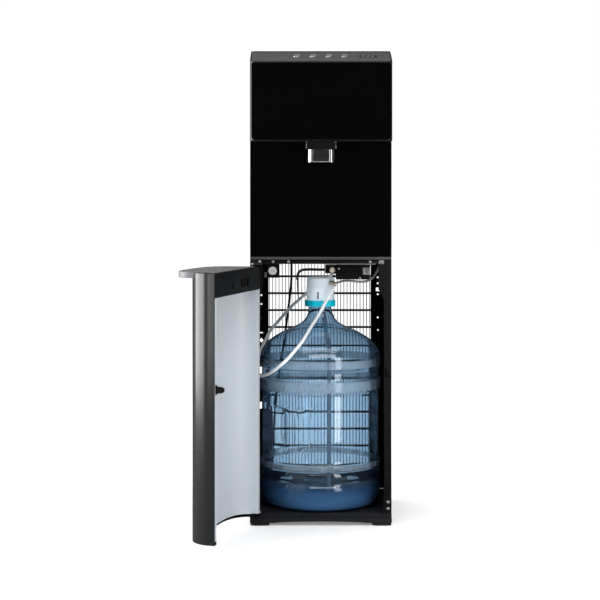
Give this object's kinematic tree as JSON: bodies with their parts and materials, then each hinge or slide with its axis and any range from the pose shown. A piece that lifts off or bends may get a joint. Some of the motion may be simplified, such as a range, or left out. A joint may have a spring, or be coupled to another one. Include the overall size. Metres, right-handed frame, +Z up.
{
  "type": "bottom-loading water dispenser",
  "caption": "Floor-standing bottom-loading water dispenser: gloss black head with nozzle and push buttons, curved swing door with drip tray, bottle bay with hoses, open condenser back.",
  "frame": {"origin": "on the floor under the middle of the bounding box with the door standing open", "axes": "+Z up, -Y to the front (nozzle side), +X to the dispenser's right as seen from the front"},
  "size_m": [0.4489, 0.6278, 1.037],
  "materials": {
    "base_plastic": "fine-grained moulded plastic",
    "side_black": "satin powder coat",
    "frame_black": "satin powder coat",
    "ceiling_steel": "zinc-coated sheet",
    "splash_gloss": "high gloss black",
    "trim_grey": "satin grey",
    "rear_sheet": "satin powder coat",
    "visor_grey": "satin moulded plastic",
    "visor_gloss": "high gloss black",
    "panel_grey": "satin dark grey",
    "button_grey": "silver-grey keys",
    "display_black": "smoked window",
    "board_green": "circuit board",
    "mount_black": "satin black",
    "nozzle_chrome": "polished chrome",
    "insert_grey": "dark grey insert",
    "outlet_silicone": "milky silicone",
    "door_steel": "metallic dark grey lacquer",
    "liner_pale": "pale blue-grey formed sheet",
    "door_black": "moulded black",
    "tray_grey": "satin mid grey",
    "hinge_black": "black zinc",
    "bottle_blue": "clear blue polycarbonate",
    "cap_pale": "milky translucent",
    "cap_cyan": "bright cyan",
    "elbow_beige": "beige fitting",
    "suction_clear": "milky tube",
    "pump_black": "moulded black",
    "hanger_steel": "bare sheet",
    "conduit_black": "black sleeve",
    "hose_white": "white silicone",
    "hose_grey": "grey silicone",
    "cable_black": "black sheath",
    "switch_black": "moulded black",
    "plunger_white": "white moulded",
    "condenser_black": "black lacquer",
    "compressor_black": "black lacquer",
    "drier_copper": "copper",
    "shelf_steel": "zinc-coated sheet",
    "insulation_foam": "expanded foam",
    "tank_steel": "stainless",
    "gland_black": "moulded grommet",
    "rocker_red": "red rocker",
    "rocker_green": "green rocker"
  },
  "bodies": {
    "cabinet": {"base_tray": "base_plastic", "side_panel_left": "side_black", "side_panel_right": "side_black", "front_rail": "frame_black", "rear_cross_plate": "frame_black", "bay_ceiling": "ceiling_steel", "splash_panel": "splash_gloss", "splash_trim": "trim_grey", "rear_panel": "rear_sheet", "visor_shell": "visor_grey", "visor_front": "visor_gloss", "top_cover": "visor_grey", "control_panel": "panel_grey", "display_window": "display_black", "control_board": "board_green", "nozzle_mount": "mount_black", "nozzle_shroud": "nozzle_chrome", "nozzle_insert": "insert_grey", "outlet_cold": "outlet_silicone", "outlet_hot": "outlet_silicone", "upper_hinge_bracket": "hinge_black", "lower_hinge_bracket": "hinge_black", "bottle": "bottle_blue", "cap_body": "cap_pale", "cap_ring": "cap_cyan", "cap_elbow": "elbow_beige", "suction_tube": "suction_clear", "pump": "pump_black", "pump_hanger": "hanger_steel", "pump_fitting": "elbow_beige", "pump_conduit": "conduit_black", "supply_hose": "hose_white", "vent_hose": "hose_grey", "harness_cable": "cable_black", "door_switch_housing": "switch_black", "condenser_tube": "condenser_black", "condenser_wires_front": "condenser_black", "condenser_wires_rear": "condenser_black", "compressor": "compressor_black", "filter_drier": "drier_copper", "machine_shelf": "shelf_steel", "cold_tank_insulation": "insulation_foam", "cold_tank": "tank_steel", "hot_tank": "tank_steel", "cord_gland": "gland_black"},
    "door": {"door_outer_panel": "door_steel", "door_liner": "liner_pale", "tray_support": "door_black", "door_bottom_cap": "door_black", "door_catch": "door_black"},
    "drip_tray": {"drip_tray": "tray_grey"},
    "drip_grid": {"drip_grid": "tray_grey"},
    "button_1": {"button_1": "button_grey"},
    "button_2": {"button_2": "button_grey"},
    "button_3": {"button_3": "button_grey"},
    "button_4": {"button_4": "button_grey"},
    "rocker_switch_hot": {"rocker_switch_hot": "rocker_red"},
    "rocker_switch_cold": {"rocker_switch_cold": "rocker_green"},
    "door_switch_plunger": {"door_switch_plunger": "plunger_white"},
    "drain_cap": {"drain_cap": "gland_black"}
  },
  "joints": [
    {"name": "door_hinge", "type": "hinge", "parent": "cabinet", "child": "door", "pos_m": [-0.0785, -0.0191, 0.29], "axis": [0, 0, 1], "range_deg": [-9.5, 105.5]},
    {"name": "tray_lift", "type": "slide", "parent": "door", "child": "drip_tray", "axis": [0, 0, 1], "range_m": [0, 0.03]},
    {"name": "grid_lift", "type": "slide", "parent": "drip_tray", "child": "drip_grid", "axis": [0, 0, 1], "range_m": [0, 0.02]},
    {"name": "button_1_press", "type": "slide", "parent": "cabinet", "child": "button_1", "axis": [0, 0.2944, -0.9557], "range_m": [0, 0.0015], "stiffness_N_per_m": 500, "springref_m": -0.001},
    {"name": "button_2_press", "type": "slide", "parent": "cabinet", "child": "button_2", "axis": [0, 0.2944, -0.9557], "range_m": [0, 0.0015], "stiffness_N_per_m": 500, "springref_m": -0.001},
    {"name": "button_3_press", "type": "slide", "parent": "cabinet", "child": "button_3", "axis": [0, 0.2944, -0.9557], "range_m": [0, 0.0015], "stiffness_N_per_m": 500, "springref_m": -0.001},
    {"name": "button_4_press", "type": "slide", "parent": "cabinet", "child": "button_4", "axis": [0, 0.2944, -0.9557], "range_m": [0, 0.0015], "stiffness_N_per_m": 500, "springref_m": -0.001},
    {"name": "door_switch_press", "type": "slide", "parent": "cabinet", "child": "door_switch_plunger", "axis": [0, 1, 0], "range_m": [0, 0.0018], "stiffness_N_per_m": 300, "springref_m": -0.002},
    {"name": "hot_switch_rock", "type": "hinge", "parent": "cabinet", "child": "rocker_switch_hot", "pos_m": [0.1755, 0.2979, 0.9], "axis": [1, 0, 0], "range_deg": [0, 16]},
    {"name": "cold_switch_rock", "type": "hinge", "parent": "cabinet", "child": "rocker_switch_cold", "pos_m": [0.1475, 0.2979, 0.9], "axis": [1, 0, 0], "range_deg": [0, 16]},
    {"name": "drain_cap_turn", "type": "hinge", "parent": "cabinet", "child": "drain_cap", "pos_m": [-0.0155, 0.2989, 0.605], "axis": [0, 1, 0], "continuous": true}
  ]
}
